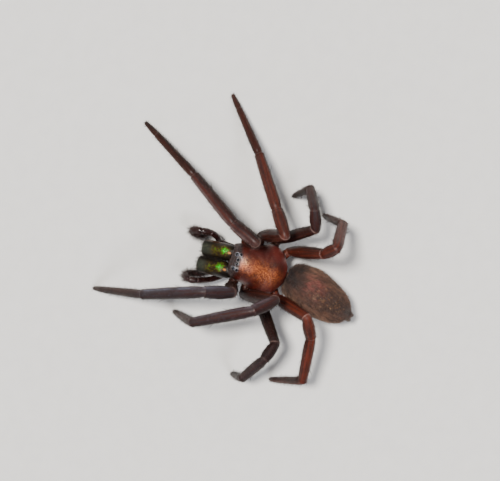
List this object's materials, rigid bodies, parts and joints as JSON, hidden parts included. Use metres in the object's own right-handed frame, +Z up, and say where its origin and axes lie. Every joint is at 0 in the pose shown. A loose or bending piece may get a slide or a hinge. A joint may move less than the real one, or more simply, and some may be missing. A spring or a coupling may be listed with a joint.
{
  "type": "tube-dwelling spider",
  "caption": "Life-size tube-dwelling spider standing with spread legs, green-sheened jaws, red-brown carapace and velvety grey-brown abdomen",
  "frame": {"origin": "centre of the underside of the bounding box, on the floor that the feet stand on", "axes": "+Z up from the floor, -Y toward the head of the spider, +X toward the spider's own left side"},
  "size_m": [0.0348, 0.0326, 0.0143],
  "materials": {
    "carapace_cuticle": "glossy dark red-brown cuticle",
    "leg_cuticle": "satin black-brown cuticle under short hair",
    "hind_leg_cuticle": "satin red-brown cuticle under short hair",
    "under_cuticle": "dull dark brown cuticle",
    "abdomen_velvet": "velvet of short grey-brown hair",
    "chelicera_cuticle": "black-brown cuticle with a green metallic sheen",
    "fang_cuticle": "polished black-red fang",
    "eye_lens": "polished black lens"
  },
  "bodies": {
    "root": {"carapace": "carapace_cuticle", "sternum": "under_cuticle", "pedicel": "under_cuticle", "abdomen": "abdomen_velvet", "spinnerets": "under_cuticle", "chelicera_left": "chelicera_cuticle", "chelicera_right": "chelicera_cuticle", "fang_left": "fang_cuticle", "fang_right": "fang_cuticle", "palp_left_arm": "leg_cuticle", "palp_left_hand": "leg_cuticle", "palp_right_arm": "leg_cuticle", "palp_right_hand": "leg_cuticle", "eye_front_side_left": "eye_lens", "eye_front_side_right": "eye_lens", "eye_rear_side_left": "eye_lens", "eye_rear_side_right": "eye_lens", "eye_middle_left": "eye_lens", "eye_middle_right": "eye_lens", "leg_1_left_coxa": "leg_cuticle", "leg_1_left_femur": "leg_cuticle", "leg_1_left_patella": "leg_cuticle", "leg_1_left_tibia": "leg_cuticle", "leg_1_left_foot": "leg_cuticle", "leg_1_right_coxa": "leg_cuticle", "leg_1_right_femur": "leg_cuticle", "leg_1_right_patella": "leg_cuticle", "leg_1_right_tibia": "leg_cuticle", "leg_1_right_foot": "leg_cuticle", "leg_2_left_coxa": "leg_cuticle", "leg_2_left_femur": "leg_cuticle", "leg_2_left_patella": "leg_cuticle", "leg_2_left_tibia": "leg_cuticle", "leg_2_left_foot": "leg_cuticle", "leg_2_right_coxa": "leg_cuticle", "leg_2_right_femur": "leg_cuticle", "leg_2_right_patella": "leg_cuticle", "leg_2_right_tibia": "leg_cuticle", "leg_2_right_foot": "leg_cuticle", "leg_3_left_coxa": "hind_leg_cuticle", "leg_3_left_femur": "hind_leg_cuticle", "leg_3_left_patella": "hind_leg_cuticle", "leg_3_left_tibia": "hind_leg_cuticle", "leg_3_left_foot": "hind_leg_cuticle", "leg_3_right_coxa": "hind_leg_cuticle", "leg_3_right_femur": "hind_leg_cuticle", "leg_3_right_patella": "hind_leg_cuticle", "leg_3_right_tibia": "hind_leg_cuticle", "leg_3_right_foot": "hind_leg_cuticle", "leg_4_left_coxa": "hind_leg_cuticle", "leg_4_left_femur": "hind_leg_cuticle", "leg_4_left_patella": "hind_leg_cuticle", "leg_4_left_tibia": "hind_leg_cuticle", "leg_4_left_foot": "hind_leg_cuticle", "leg_4_right_coxa": "hind_leg_cuticle", "leg_4_right_femur": "hind_leg_cuticle", "leg_4_right_patella": "hind_leg_cuticle", "leg_4_right_tibia": "hind_leg_cuticle", "leg_4_right_foot": "hind_leg_cuticle"}
  },
  "joints": []
}
